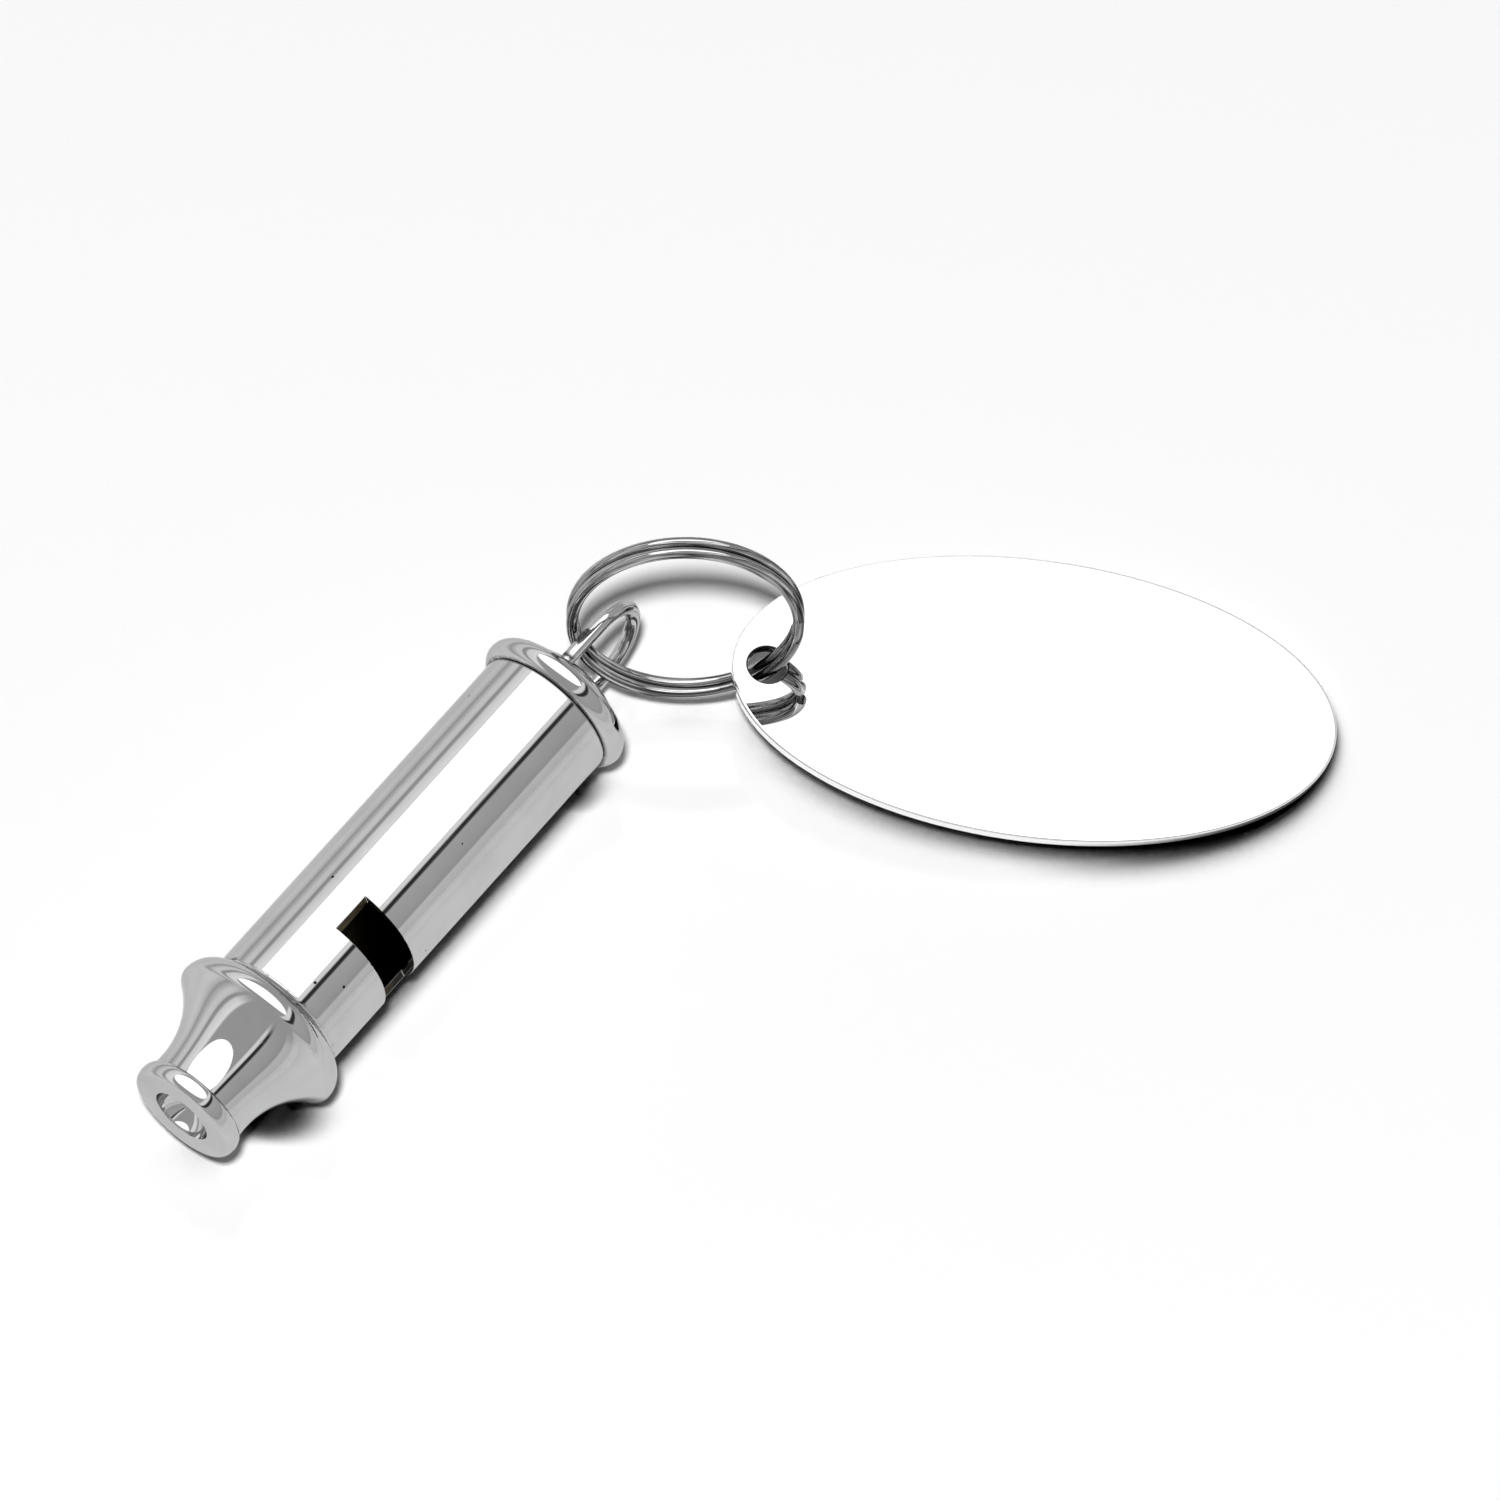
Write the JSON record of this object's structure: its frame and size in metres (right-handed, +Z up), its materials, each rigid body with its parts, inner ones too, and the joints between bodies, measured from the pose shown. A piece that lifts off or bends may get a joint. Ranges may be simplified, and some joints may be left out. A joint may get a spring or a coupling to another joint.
{
  "type": "safety whistle",
  "caption": "Tubular metal safety whistle with a flared mouthpiece, cross-cut windows and a domed cap, on a split ring with an oval polished tag.",
  "frame": {"origin": "centre of the blow hole on the lip's face", "axes": "+X along the barrel from the lip to the cap, +Z up from the surface the whistle lies on"},
  "size_m": [0.0946, 0.0606, 0.023],
  "materials": {
    "nickel_plate": "bright nickel plate, polished",
    "raw_brass": "unplated and tarnished, inside the barrel",
    "spring_steel": "nickel-plated spring wire",
    "tag_plate": "mirror-polished plate"
  },
  "bodies": {
    "whistle": {"mouthpiece": "nickel_plate", "barrel": "nickel_plate", "divider": "raw_brass", "upper_plug": "raw_brass", "lower_plug": "raw_brass", "cap": "nickel_plate", "eye": "nickel_plate"},
    "ring": {"split_ring": "spring_steel"},
    "tag": {"tag": "tag_plate"}
  },
  "joints": [
    {"name": "ring_swing", "type": "hinge", "parent": "whistle", "child": "ring", "pos_m": [0.055, -0.00002, -0.0006], "axis": [-0.2642, 0.5582, 0.7865], "range_deg": [-45, 60]},
    {"name": "tag_swing", "type": "hinge", "parent": "ring", "child": "tag", "pos_m": [0.06382, -0.01143, -0.00147], "axis": [0.5286, -0.4677, 0.7084], "range_deg": [-110, 110]}
  ]
}
